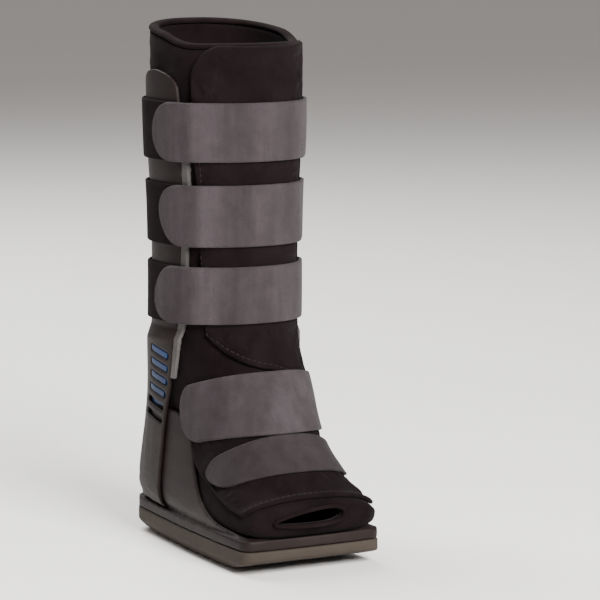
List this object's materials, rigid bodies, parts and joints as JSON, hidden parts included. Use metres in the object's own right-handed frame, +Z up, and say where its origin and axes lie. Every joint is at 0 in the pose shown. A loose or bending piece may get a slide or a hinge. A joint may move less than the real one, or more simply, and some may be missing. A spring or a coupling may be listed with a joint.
{
  "type": "medical walking boot",
  "caption": "Tall orthopaedic walking boot: rocker sole, moulded foot shell with side uprights, padded open-toe bootie, hook-and-loop straps over calf, instep and forefoot.",
  "frame": {"origin": "the point on the floor under the axis of the leg", "axes": "+Z up along the leg, -Y towards the toes, -X towards the lateral (little toe) side"},
  "size_m": [0.1348, 0.2473, 0.4287],
  "materials": {
    "sole_rubber": "matt brown-grey rubber",
    "shell_plastic": "satin charcoal moulding",
    "edge_plastic": "satin light grey moulding",
    "vent_plastic": "satin blue moulding",
    "foam_fabric": "black brushed cloth over foam",
    "binding_fabric": "black edge tape",
    "loop_fabric": "mid-grey brushed loop",
    "dark_loop_fabric": "charcoal brushed loop",
    "band_fabric": "black webbing"
  },
  "bodies": {
    "root": {"outsole": "sole_rubber", "foot_shell": "shell_plastic", "upright_lateral": "shell_plastic", "upright_medial": "shell_plastic", "edge_strip_lateral": "edge_plastic", "edge_strip_medial": "edge_plastic", "vent_lateral": "vent_plastic", "vent_medial": "vent_plastic", "liner": "foam_fabric", "leg_flap": "foam_fabric", "foot_flap": "foam_fabric", "rim_binding": "binding_fabric", "toe_binding": "binding_fabric", "calf_strap_1": "loop_fabric", "calf_strap_2": "loop_fabric", "calf_strap_3": "loop_fabric", "back_band_1": "band_fabric", "back_band_2": "band_fabric", "back_band_3": "band_fabric", "instep_strap": "loop_fabric", "forefoot_strap": "dark_loop_fabric"}
  },
  "joints": []
}
